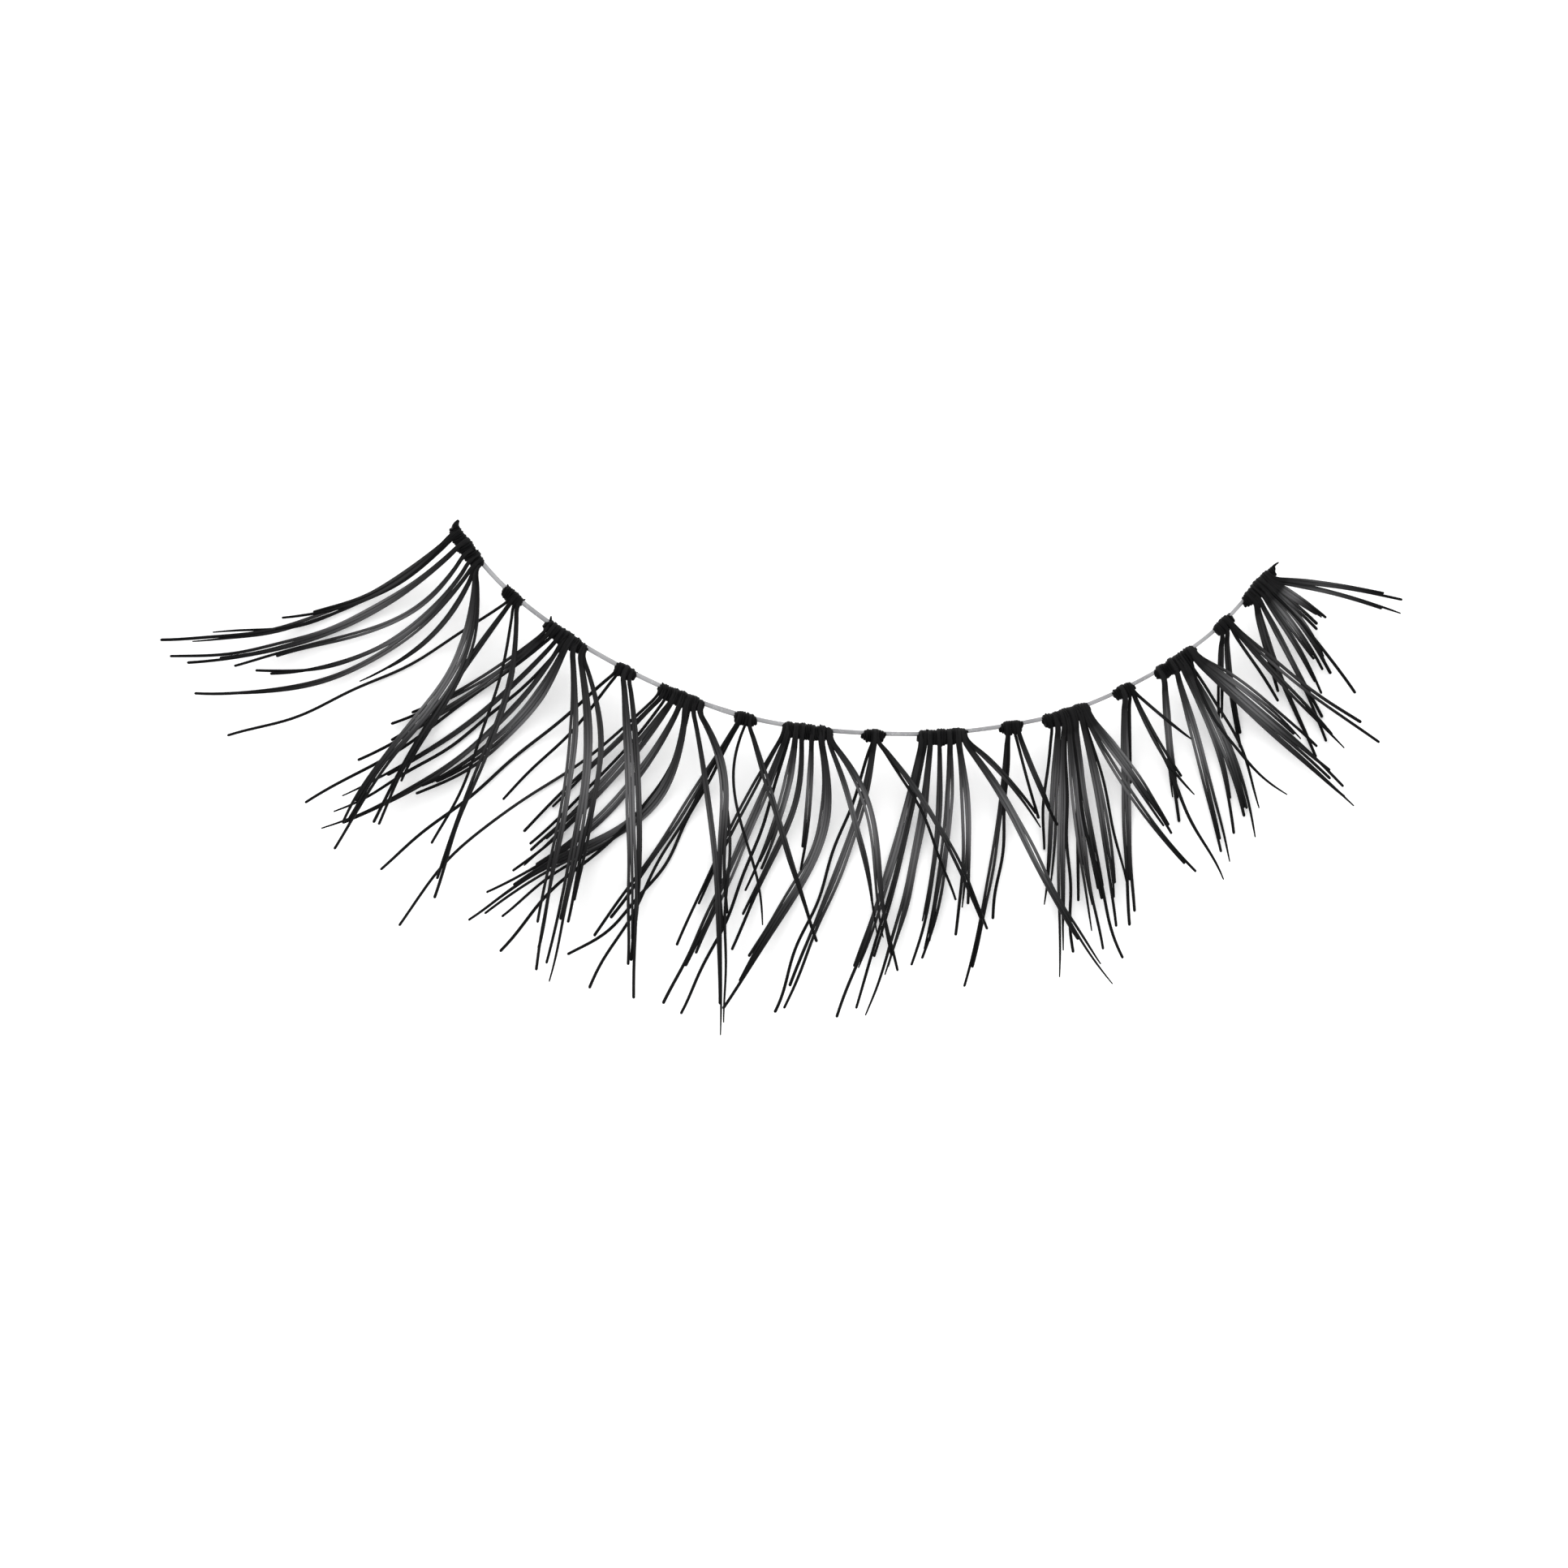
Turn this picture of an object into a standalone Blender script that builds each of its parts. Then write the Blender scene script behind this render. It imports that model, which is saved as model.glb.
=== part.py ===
"""False eyelash strip: a clear thread with fifteen knotted tufts of black hair.

Metres, Z up. The strip lies curl up on the bellies of its hairs, with the thread level.
X runs along the thread from the outer end to the inner end of the eye, and the hair tips
point toward -Y. The origin is the middle of the bounding box, on the surface below.
"""

import math
from collections import namedtuple

import bmesh
import bpy
from mathutils import Vector

MM = 0.001

# Lie of the strip. The outline is drawn as seen from LOOK_DEG above the surface.
LOOK_DEG = 65.0

# Thread
BAND_SPAN = 27.9 * MM          # end to end, straight across
BAND_SAG = 7.1 * MM            # depth of the arc as drawn
THREAD_WIDE = 0.18 * MM
THREAD_THICK = 0.15 * MM
THREAD_CORNER = 0.035 * MM
BORE_GAP = 0.025 * MM          # between the thread and a knot's bore, all round
BORE_OVERRUN = 1.0 * MM        # of the bore's cutter past each end of the thread
THREAD_PARTS = 32

# Knots
WIDE_KNOT = 1.7 * MM           # length along the thread
SMALL_KNOT = 0.8 * MM
WIDE_KNOT_TALL = 0.72 * MM     # as drawn, across the thread
SMALL_KNOT_TALL = 0.54 * MM
KNOT_FLATNESS = 0.68           # depth over height of a knot's section
KNOT_CORNER = 0.13             # cut of its corners, as a share of its height
WIDE_KNOT_HANG = 0.20 * MM     # knot's middle below the thread
SMALL_KNOT_HANG = 0.11 * MM
ROOT_DROP = 0.10 * MM          # hair roots below the knot's middle

# Hair
HAIR_WIDE = 0.10 * MM          # one hair
LOCK_FLATNESS = 0.45           # depth over width of a lock of several hairs
HAIR_REACH = 10.2 * MM         # a reach of 1 in the tables
HAIR_SIDES = 4
LOCK_GIRTH = 1.7               # strands from this girth on are flat locks
LOCK_SIDES = 6
HAIR_PARTS = 6                 # fewer on strands of less than these reaches
MIDDLING_REACH, SHORT_REACH = 0.8, 0.45

WELD = 0.001 * MM
SHARP_DEG = 50.0

# Curl. Each hair leaves the knot downward, touches down at its belly and rises to its tip.
DIP_DEG = 33.0
BELLY_AT = 4.6 * MM            # from the root, as drawn

# Hairs that cross are stacked: the more a hair leans inward of the thread's own square
# direction, the higher it passes.
STACK_PER_DEG = 0.013 * MM
STACK_LEAST, STACK_MOST = -22.0, 40.0
STACK_AT_ROOT = 0.2
STACK_FULL_AT = 2.6 * MM

HAIR_BLACK = (0.012, 0.011, 0.012, 1.0)
THREAD_GREY = (0.62, 0.62, 0.63, 1.0)

# The thread's arc: share of the span across, share of the sag down.
Bend = namedtuple("Bend", "across down")
BAND_BENDS = (
    Bend(0.000, 0.00), Bend(0.039, 0.20), Bend(0.075, 0.34), Bend(0.140, 0.53),
    Bend(0.210, 0.69), Bend(0.282, 0.82), Bend(0.357, 0.92), Bend(0.433, 0.975),
    Bend(0.512, 1.00), Bend(0.594, 1.00), Bend(0.680, 0.96), Bend(0.747, 0.90),
    Bend(0.816, 0.79), Bend(0.880, 0.65), Bend(0.940, 0.47), Bend(1.000, 0.21),
)

# Sections along a knot: share of its length, share of its height, share of its hang.
Ring = namedtuple("Ring", "along tall hang")
KNOT_RINGS = (
    Ring(-0.50, 0.74, 0.30), Ring(-0.38, 0.93, 0.80), Ring(-0.13, 1.00, 1.00),
    Ring(0.13, 0.96, 1.00), Ring(0.38, 0.94, 0.80), Ring(0.50, 0.74, 0.30),
)

# Width along a hair from root to tip, as a share of its full width.
Taper = namedtuple("Taper", "along wide")
HAIR_TAPER = (Taper(0.0, 1.0), Taper(0.6, 1.0), Taper(1.0, 0.4))
LOCK_TAPER = (Taper(0.0, 0.7), Taper(0.2, 1.0), Taper(0.5, 1.0), Taper(0.8, 0.65), Taper(1.0, 0.25))

# Hairs of each tuft. root: place along the knot, -0.5 to 0.5. lean: degrees from straight
# down, plus toward the inner end. reach: share of HAIR_REACH. bow and sway: sideways bend
# and S-bend, shares of the reach. girth: how many hairs lie side by side.
Hair = namedtuple("Hair", "root lean reach bow sway girth")
Tuft = namedtuple("Tuft", "name across wide hairs")

TUFTS = (
    Tuft("outer_end_tuft", 0.017, True, (
        Hair(-0.38, -64, 0.63, 0.09, 0.00, 2.0),
        Hair(-0.36, -70, 1.02, 0.10, 0.00, 2.0),
        Hair(-0.30, -69, 0.86, 0.10, 0.00, 1.0),
        Hair(-0.10, -68, 1.02, 0.095, 0.00, 3.0),
        Hair(0.10, -63, 0.85, 0.09, 0.03, 2.4),
        Hair(0.28, -62, 0.80, 0.14, 0.00, 2.4),
        Hair(0.40, -65, 1.01, 0.14, 0.00, 2.4),
        Hair(0.46, -45, 0.54, 0.10, 0.00, 1.6),
        Hair(0.50, -26, 1.03, 0.055, 0.035, 4.4),
        Hair(0.52, -20, 0.90, 0.06, 0.03, 1.6),
    )),
    Tuft("small_tuft_1", 0.073, False, (
        Hair(0.00, -63, 1.03, 0.04, 0.00, 1.0),
        Hair(0.12, -31, 0.86, -0.03, 0.00, 1.8),
        Hair(0.24, -18, 0.84, 0.04, 0.00, 1.0),
        Hair(0.40, -15, 1.00, 0.03, 0.02, 1.6),
    )),
    Tuft("wide_tuft_1", 0.139, True, (
        Hair(-0.40, -59, 0.60, 0.04, 0.00, 2.0),
        Hair(-0.32, -57, 0.76, 0.03, 0.00, 2.0),
        Hair(-0.24, -55, 0.98, 0.02, 0.00, 1.0),
        Hair(-0.12, -53, 0.88, 0.05, 0.00, 2.0),
        Hair(0.00, -52, 1.00, 0.09, 0.00, 2.0),
        Hair(0.05, -54, 0.94, 0.05, 0.00, 1.0),
        Hair(0.10, -46, 0.70, 0.10, 0.00, 4.4),
        Hair(0.24, -6, 1.06, 0.03, 0.01, 2.6),
        Hair(0.42, -5, 1.08, 0.05, 0.01, 3.6),
        Hair(0.50, -2, 0.88, 0.07, 0.02, 1.8),
    )),
    Tuft("small_tuft_2", 0.212, False, (
        Hair(-0.35, -50, 1.01, 0.00, 0.00, 1.0),
        Hair(-0.25, -43, 0.57, 0.02, 0.00, 1.0),
        Hair(-0.02, 2, 1.06, 0.01, 0.00, 3.0),
        Hair(0.26, 1, 0.93, 0.03, 0.00, 2.4),
    )),
    Tuft("wide_tuft_2", 0.280, True, (
        Hair(-0.44, -48, 1.13, -0.035, 0.025, 1.5),
        Hair(-0.36, -46, 0.64, 0.00, 0.00, 2.0),
        Hair(-0.28, -43, 0.66, 0.03, 0.00, 1.0),
        Hair(-0.14, -43, 0.77, 0.03, 0.00, 4.0),
        Hair(0.04, -45, 0.89, 0.09, 0.00, 3.6),
        Hair(0.16, -45, 1.00, 0.12, 0.05, 4.0),
        Hair(0.18, -41, 0.92, 0.12, 0.04, 1.4),
        Hair(0.24, -38, 1.01, 0.06, 0.03, 1.0),
        Hair(0.30, 5, 1.07, 0.03, 0.00, 2.4),
        Hair(0.42, 7, 0.72, 0.06, 0.03, 3.0),
        Hair(0.46, 5, 1.02, 0.05, 0.02, 1.2),
    )),
    Tuft("small_tuft_3", 0.358, False, (
        Hair(-0.28, -33, 0.85, 0.01, 0.00, 2.0),
        Hair(-0.25, -29, 1.00, 0.00, 0.00, 1.0),
        Hair(-0.20, -36, 0.95, 0.07, -0.02, 1.0),
        Hair(0.05, 4, 0.67, -0.06, -0.04, 1.0),
        Hair(0.20, 17, 0.75, 0.00, 0.00, 2.0),
    )),
    Tuft("wide_tuft_3", 0.433, True, (
        Hair(-0.46, -26, 0.78, -0.02, 0.00, 1.6),
        Hair(-0.38, -24, 0.97, 0.01, 0.00, 3.6),
        Hair(-0.34, -21, 0.98, 0.03, 0.00, 1.0),
        Hair(-0.22, -18, 0.54, 0.05, 0.00, 3.0),
        Hair(-0.10, -19, 0.74, 0.06, 0.02, 2.0),
        Hair(0.10, -5, 0.44, 0.02, 0.00, 2.4),
        Hair(0.28, -20, 0.94, 0.105, 0.03, 4.0),
        Hair(0.42, 14, 0.66, 0.035, 0.00, 2.4),
        Hair(0.46, 16, 0.79, 0.06, 0.03, 3.6),
    )),
    Tuft("small_tuft_4", 0.513, False, (
        Hair(0.05, -19, 0.93, 0.03, 0.01, 3.0),
        Hair(-0.02, -21, 0.95, 0.01, 0.00, 1.0),
        Hair(0.15, 30, 0.72, 0.045, 0.00, 1.8),
        Hair(0.12, 26, 0.59, 0.05, 0.00, 1.0),
    )),
    Tuft("wide_tuft_4", 0.596, True, (
        Hair(-0.42, -18, 0.94, 0.03, 0.00, 3.2),
        Hair(-0.34, -15, 0.90, 0.02, 0.00, 1.6),
        Hair(-0.24, -13, 0.92, 0.04, 0.00, 3.2),
        Hair(-0.06, -7, 0.74, 0.04, 0.00, 2.0),
        Hair(0.14, -7, 0.72, 0.04, 0.00, 3.2),
        Hair(0.32, 0, 0.64, 0.04, 0.00, 3.0),
        Hair(0.42, 31, 0.93, 0.00, 0.015, 3.0),
        Hair(0.46, 42, 0.38, 0.05, 0.00, 1.6),
    )),
    Tuft("small_tuft_5", 0.680, False, (
        Hair(-0.20, -10, 0.85, 0.03, 0.00, 2.0),
        Hair(-0.15, -5, 0.62, 0.02, 0.00, 1.0),
        Hair(0.10, 16, 0.30, 0.00, 0.00, 1.0),
        Hair(0.25, 23, 0.34, -0.02, 0.00, 1.6),
    )),
    Tuft("wide_tuft_5", 0.746, True, (
        Hair(-0.32, -4, 0.41, -0.02, 0.00, 1.0),
        Hair(-0.20, -4, 0.60, 0.01, 0.00, 3.0),
        Hair(-0.08, -1, 0.84, 0.00, 0.00, 3.0),
        Hair(-0.04, 1, 0.76, 0.00, 0.00, 1.0),
        Hair(0.02, 7, 0.76, -0.01, 0.00, 3.0),
        Hair(0.08, 11, 0.80, -0.03, 0.00, 1.0),
        Hair(0.12, 2, 0.60, 0.01, 0.00, 2.4),
        Hair(0.16, 9, 0.60, -0.02, 0.00, 3.0),
        Hair(0.28, 9, 0.70, 0.03, 0.00, 3.0),
        Hair(0.33, 13, 0.61, 0.02, 0.00, 1.0),
        Hair(0.36, 34, 0.63, -0.03, 0.00, 2.4),
        Hair(0.42, 36, 0.48, 0.01, 0.00, 4.4),
    )),
    Tuft("small_tuft_6", 0.817, False, (
        Hair(-0.05, 1, 0.76, 0.00, 0.00, 3.0),
        Hair(0.18, 0, 0.30, 0.00, 0.00, 1.0),
        Hair(0.28, 25, 0.69, 0.00, 0.00, 1.0),
        Hair(0.32, 30, 0.40, -0.03, 0.00, 1.6),
        Hair(0.36, 52, 0.25, -0.02, 0.00, 1.2),
    )),
    Tuft("wide_tuft_6", 0.880, True, (
        Hair(-0.36, 5, 0.48, 0.00, 0.00, 3.0),
        Hair(-0.08, 14, 0.66, 0.02, 0.00, 3.0),
        Hair(0.04, 18, 0.58, 0.06, 0.00, 2.4),
        Hair(0.14, 21, 0.62, 0.05, 0.00, 4.4),
        Hair(0.22, 27, 0.54, 0.06, 0.00, 1.0),
        Hair(0.28, 36, 0.55, -0.09, 0.00, 1.0),
        Hair(0.34, 47, 0.72, 0.00, 0.00, 2.0),
        Hair(0.38, 49, 0.65, 0.01, 0.00, 3.4),
        Hair(0.42, 51, 0.50, 0.045, 0.00, 3.4),
    )),
    Tuft("small_tuft_7", 0.940, False, (
        Hair(-0.28, -1, 0.30, 0.00, 0.00, 1.6),
        Hair(0.00, 7, 0.40, -0.02, 0.00, 1.6),
        Hair(0.14, 34, 0.30, 0.00, 0.00, 1.0),
        Hair(0.20, 43, 0.56, 0.00, 0.00, 1.6),
        Hair(0.26, 52, 0.63, -0.02, 0.00, 2.0),
    )),
    Tuft("inner_end_tuft", 0.984, True, (
        Hair(-0.30, 17, 0.31, -0.01, 0.00, 1.6),
        Hair(-0.26, 21, 0.56, -0.02, 0.00, 2.0),
        Hair(-0.20, 27, 0.53, 0.02, 0.00, 2.0),
        Hair(-0.08, 31, 0.39, 0.03, 0.00, 2.0),
        Hair(0.00, 36, 0.33, 0.03, 0.00, 3.0),
        Hair(0.06, 40, 0.46, 0.05, 0.00, 1.0),
        Hair(0.12, 36, 0.36, 0.06, 0.00, 3.0),
        Hair(0.18, 50, 0.22, 0.00, 0.00, 2.0),
        Hair(0.22, 56, 0.22, 0.02, 0.00, 3.0),
        Hair(0.24, 75, 0.45, 0.04, 0.00, 2.0),
        Hair(0.30, 82, 0.44, 0.02, 0.00, 2.0),
    )),
)


def band_at(across):
    """Where the thread is as drawn, and its direction, at a share of the span."""
    i = max(k for k in range(len(BAND_BENDS) - 1) if BAND_BENDS[k].across <= across or k == 0)
    a, b = BAND_BENDS[i], BAND_BENDS[i + 1]
    before = BAND_BENDS[max(i - 1, 0)]
    after = BAND_BENDS[min(i + 2, len(BAND_BENDS) - 1)]
    gap = b.across - a.across
    t = (across - a.across) / gap
    rise_a = (b.down - before.down) / (b.across - before.across) * gap
    rise_b = (after.down - a.down) / (after.across - a.across) * gap
    down = ((2 * t**3 - 3 * t**2 + 1) * a.down + (t**3 - 2 * t**2 + t) * rise_a
            + (3 * t**2 - 2 * t**3) * b.down + (t**3 - t**2) * rise_b)
    slope = ((6 * t**2 - 6 * t) * a.down + (3 * t**2 - 4 * t + 1) * rise_a
             + (6 * t - 6 * t**2) * b.down + (3 * t**2 - 2 * t) * rise_b) / gap
    place = Vector((across * BAND_SPAN, down * BAND_SAG))
    return place, Vector((BAND_SPAN, slope * BAND_SAG)).normalized()


def square_to(direction):
    """The direction down and away from the thread, square to it."""
    return Vector((-direction.y, direction.x))


def laid(drawn, height):
    """The point at a height above the surface that is seen at a place of the drawing."""
    look = math.radians(LOOK_DEG)
    return Vector((drawn.x, -(drawn.y + height * math.cos(look)) / math.sin(look), height))


def curl(gone):
    """Height of a hair against the thread, at a drawn distance from its root."""
    return math.tan(math.radians(DIP_DEG)) * (gone * gone / (2 * BELLY_AT) - gone)


def stacked(off_square, gone):
    """How much higher a hair passes, by its lean against the thread's square direction."""
    full = min(max(off_square, STACK_LEAST), STACK_MOST) * STACK_PER_DEG
    return full * (STACK_AT_ROOT + (1 - STACK_AT_ROOT) * min(1.0, gone / STACK_FULL_AT))


def taper_at(table, along):
    """Width share at a share of a hair's length."""
    for a, b in zip(table, table[1:]):
        if along <= b.along:
            return a.wide + (b.wide - a.wide) * (along - a.along) / (b.along - a.along)
    return table[-1].wide


def section(name, points, collection):
    """A closed outline, swept along curves."""
    curve = bpy.data.curves.new(name, "CURVE")
    spline = curve.splines.new("POLY")
    spline.points.add(len(points) - 1)
    for point, (x, y) in zip(spline.points, points):
        point.co = (x, y, 0.0, 1.0)
    spline.use_cyclic_u = True
    return helper(bpy.data.objects.new(name, curve), collection)


def helper(obj, collection):
    """Puts an object that only shapes others where it isn't read."""
    collection.objects.link(obj)
    obj.hide_render = True
    obj.display_type = "WIRE"
    return obj


def oval(wide, thick, sides):
    """Outline of an oval section, with a flat on each side."""
    step = 2 * math.pi / sides
    return [(wide / 2 * math.cos((i + 0.5) * step), thick / 2 * math.sin((i + 0.5) * step))
            for i in range(sides)]


def bar(wide, thick, corner):
    """Outline of a flat section with cut corners."""
    x, y = wide / 2, thick / 2
    if not corner:
        return [(x, -y), (x, y), (-x, y), (-x, -y)]
    return [(x, -y + corner), (x, y - corner), (x - corner, y), (-x + corner, y),
            (-x, y - corner), (-x, -y + corner), (-x + corner, -y), (x - corner, -y)]


def knot_outline(tall):
    """Outline of a knot's section."""
    return bar(tall, tall * KNOT_FLATNESS, tall * KNOT_CORNER)


def swept(name, runs, outline, collection):
    """One mesh of closed tubes: each run is a list of (point, share of the outline)."""
    curve = bpy.data.curves.new(name, "CURVE")
    curve.dimensions = "3D"
    curve.twist_mode = "Z_UP"
    curve.bevel_mode = "OBJECT"
    curve.bevel_object = outline
    curve.use_fill_caps = True
    for run in runs:
        spline = curve.splines.new("POLY")
        spline.points.add(len(run) - 1)
        for point, (place, share) in zip(spline.points, run):
            point.co = (*place, 1.0)
            point.radius = share
    route = bpy.data.objects.new(name + "_route", curve)
    collection.objects.link(route)
    seen = route.evaluated_get(bpy.context.evaluated_depsgraph_get())
    mesh = bpy.data.meshes.new_from_object(seen)
    bpy.data.objects.remove(route)
    solid = bmesh.new()
    solid.from_mesh(mesh)
    bmesh.ops.remove_doubles(solid, verts=solid.verts, dist=WELD)
    bmesh.ops.recalc_face_normals(solid, faces=solid.faces)
    solid.to_mesh(mesh)
    solid.free()
    mesh.name = name
    return bpy.data.objects.new(name, mesh)


def combine(obj, other, operation):
    """Joins or cuts one solid with another, and keeps the result as its mesh."""
    step = obj.modifiers.new(operation.lower(), "BOOLEAN")
    step.operation = operation
    step.object = other
    step.solver = "EXACT"
    step.use_self = operation == "UNION"
    bpy.context.view_layer.update()
    seen = obj.evaluated_get(bpy.context.evaluated_depsgraph_get())
    mesh = bpy.data.meshes.new_from_object(seen)
    obj.modifiers.clear()
    obj.data = mesh


def thread_run(extra):
    """The thread's route, with its ends moved out by extra."""
    run = []
    for i in range(THREAD_PARTS + 1):
        place, direction = band_at(i / THREAD_PARTS)
        if i in (0, THREAD_PARTS):
            place = place + direction * (extra if i else -extra)
        run.append((laid(place, 0.0), 1.0))
    return run


def knot_run(tuft):
    """A knot's route along the thread, hanging a little below it."""
    long = WIDE_KNOT if tuft.wide else SMALL_KNOT
    hang = WIDE_KNOT_HANG if tuft.wide else SMALL_KNOT_HANG
    direction = band_at(tuft.across)[1]
    run = []
    for ring in KNOT_RINGS:
        share = tuft.across + ring.along * long * direction.x / BAND_SPAN
        place, along = band_at(min(max(share, 0.0), 1.0))
        if share < 0.0 or share > 1.0:
            place = place + along * ((share - (1.0 if share > 1.0 else 0.0)) * BAND_SPAN / along.x)
        place = place + square_to(along) * hang * ring.hang
        run.append((laid(place, 0.0), ring.tall))
    return run


def hair_run(tuft, hair, table):
    """A hair's route from inside its knot to its tip."""
    long = WIDE_KNOT if tuft.wide else SMALL_KNOT
    hang = (WIDE_KNOT_HANG if tuft.wide else SMALL_KNOT_HANG) + ROOT_DROP
    middle, direction = band_at(tuft.across)
    root = middle + direction * (hair.root * long) + square_to(direction) * hang
    square_lean = math.degrees(math.atan2(-direction.y, direction.x))
    lean = math.radians(hair.lean)
    ahead = Vector((math.sin(lean), math.cos(lean)))
    aside = Vector((math.cos(lean), -math.sin(lean)))
    reach = hair.reach * HAIR_REACH
    parts = HAIR_PARTS - (hair.reach < MIDDLING_REACH) - 2 * (hair.reach < SHORT_REACH)
    run = []
    for i in range(parts + 1):
        t = i / parts
        gone = t * reach
        side = reach * (4 * hair.bow * t * (1 - t) + hair.sway * math.sin(2 * math.pi * t))
        height = curl(gone) + stacked(hair.lean - square_lean, gone)
        wide = hair.girth * taper_at(table, t)
        run.append((laid(root + ahead * gone + aside * side, height), wide))
    return run


def finish(name, colour, roughness):
    """A plain material."""
    material = bpy.data.materials.new(name)
    material.use_nodes = True
    shader = material.node_tree.nodes["Principled BSDF"]
    shader.inputs["Base Color"].default_value = colour
    shader.inputs["Roughness"].default_value = roughness
    shader.inputs["Metallic"].default_value = 0.0
    return material


def main():
    for old in list(bpy.data.objects):
        bpy.data.objects.remove(old)
    strip = bpy.data.collections.new("False eyelash strip")
    cutters = bpy.data.collections.new("Cutters")
    bpy.context.scene.collection.children.link(strip)
    bpy.context.scene.collection.children.link(cutters)

    hair_section = section("hair_section", oval(HAIR_WIDE, HAIR_WIDE, HAIR_SIDES), cutters)
    lock_section = section(
        "lock_section", oval(HAIR_WIDE, HAIR_WIDE * LOCK_FLATNESS, LOCK_SIDES), cutters)
    wide_knot_section = section("wide_knot_section", knot_outline(WIDE_KNOT_TALL), cutters)
    small_knot_section = section("small_knot_section", knot_outline(SMALL_KNOT_TALL), cutters)
    thread_section = section(
        "thread_section", bar(THREAD_WIDE, THREAD_THICK, THREAD_CORNER), cutters)
    bore_section = section(
        "bore_section", bar(THREAD_WIDE + 2 * BORE_GAP, THREAD_THICK + 2 * BORE_GAP, 0.0), cutters)

    thread_clear = finish("thread_clear", THREAD_GREY, 0.25)
    thread = swept("band_thread", [thread_run(0.0)], thread_section, cutters)
    thread.data.materials.append(thread_clear)
    strip.objects.link(thread)
    bore = helper(swept("thread_bore", [thread_run(BORE_OVERRUN)], bore_section, cutters), cutters)

    for tuft in TUFTS:
        outline = wide_knot_section if tuft.wide else small_knot_section
        body = swept(tuft.name, [knot_run(tuft)], outline, cutters)
        strip.objects.link(body)
        fine = [hair_run(tuft, h, HAIR_TAPER) for h in tuft.hairs if h.girth < LOCK_GIRTH]
        locks = [hair_run(tuft, h, LOCK_TAPER) for h in tuft.hairs if h.girth >= LOCK_GIRTH]
        for runs, outline in ((locks, lock_section), (fine, hair_section)):
            for run in runs:
                strand = helper(swept("strand", [run], outline, cutters), cutters)
                combine(body, strand, "UNION")
                bpy.data.objects.remove(strand)
        combine(body, bore, "DIFFERENCE")
        body.data.materials.clear()
        black = finish(tuft.name + "_black", HAIR_BLACK, 0.42)
        body.data.materials.append(black)

    corners = [v.co for obj in strip.objects for v in obj.data.vertices]
    low = Vector([min(c[i] for c in corners) for i in range(3)])
    high = Vector([max(c[i] for c in corners) for i in range(3)])
    shift = Vector((-(low.x + high.x) / 2, -(low.y + high.y) / 2, -low.z))
    for obj in strip.objects:
        for vertex in obj.data.vertices:
            vertex.co += shift
        obj.data.shade_smooth()
        obj.data.set_sharp_from_angle(angle=math.radians(SHARP_DEG))


main()
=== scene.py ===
"""False eyelash strip: the finished look of the thread, the knots and every hair.

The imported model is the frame. Each tuft of the frame is a knot with plain locks, and here
it becomes a wound knot with single hairs that follow the same places, each looped over the
knot's face. The strip lies curl up on a white floor, seen from 65 degrees above it.
"""

import logging
import math
import random
from dataclasses import dataclass, field
from enum import Enum
from typing import Iterable, Sequence

import bpy
import numpy as np
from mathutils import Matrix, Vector


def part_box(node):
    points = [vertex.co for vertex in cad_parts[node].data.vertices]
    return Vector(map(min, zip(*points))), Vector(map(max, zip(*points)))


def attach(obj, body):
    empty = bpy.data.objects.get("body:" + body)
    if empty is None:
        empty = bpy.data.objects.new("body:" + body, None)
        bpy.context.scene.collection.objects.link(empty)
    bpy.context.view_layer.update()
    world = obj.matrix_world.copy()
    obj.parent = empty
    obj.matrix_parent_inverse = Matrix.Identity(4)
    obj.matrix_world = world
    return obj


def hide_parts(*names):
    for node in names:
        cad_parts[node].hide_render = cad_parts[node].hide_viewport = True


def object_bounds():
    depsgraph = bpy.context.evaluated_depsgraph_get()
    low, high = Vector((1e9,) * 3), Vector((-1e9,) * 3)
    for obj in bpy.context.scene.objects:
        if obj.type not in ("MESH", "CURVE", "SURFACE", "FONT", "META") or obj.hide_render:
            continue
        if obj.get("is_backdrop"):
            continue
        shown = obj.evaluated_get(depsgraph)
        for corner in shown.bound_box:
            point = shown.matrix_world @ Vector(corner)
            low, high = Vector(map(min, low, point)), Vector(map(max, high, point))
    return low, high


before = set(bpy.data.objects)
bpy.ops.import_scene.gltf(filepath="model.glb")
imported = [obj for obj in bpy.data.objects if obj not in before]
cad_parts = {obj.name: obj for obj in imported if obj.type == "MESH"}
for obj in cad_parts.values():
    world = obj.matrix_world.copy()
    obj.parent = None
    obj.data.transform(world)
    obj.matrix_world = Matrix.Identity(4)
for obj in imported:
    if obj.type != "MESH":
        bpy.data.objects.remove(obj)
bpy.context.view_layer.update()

log = logging.getLogger("lash_strip")

MM = 0.001
UP = Vector((0.0, 0.0, 1.0))
FIRST_SEED = 100

Colour = tuple[float, float, float, float]
Value = float | np.ndarray


class KnotKind(Enum):
    """The two sizes of knot that take turns along the thread."""

    WIDE = "wide"
    SMALL = "small"


@dataclass(frozen=True)
class Bend:
    """A place on the thread's arc, as shares of its span and of its sag."""

    across: float
    down: float


@dataclass(frozen=True)
class Strand:
    """One lock or single hair of a tuft, as it is drawn from above.

    root is the place along the knot from -0.5 to 0.5, lean is in degrees from straight
    down, plus toward the inner end, reach is a share of the full hair length, bow and
    sway are sideways bends as shares of the reach, and girth counts hairs side by side.
    """

    root: float
    lean: float
    reach: float
    bow: float
    sway: float
    girth: float


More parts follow.
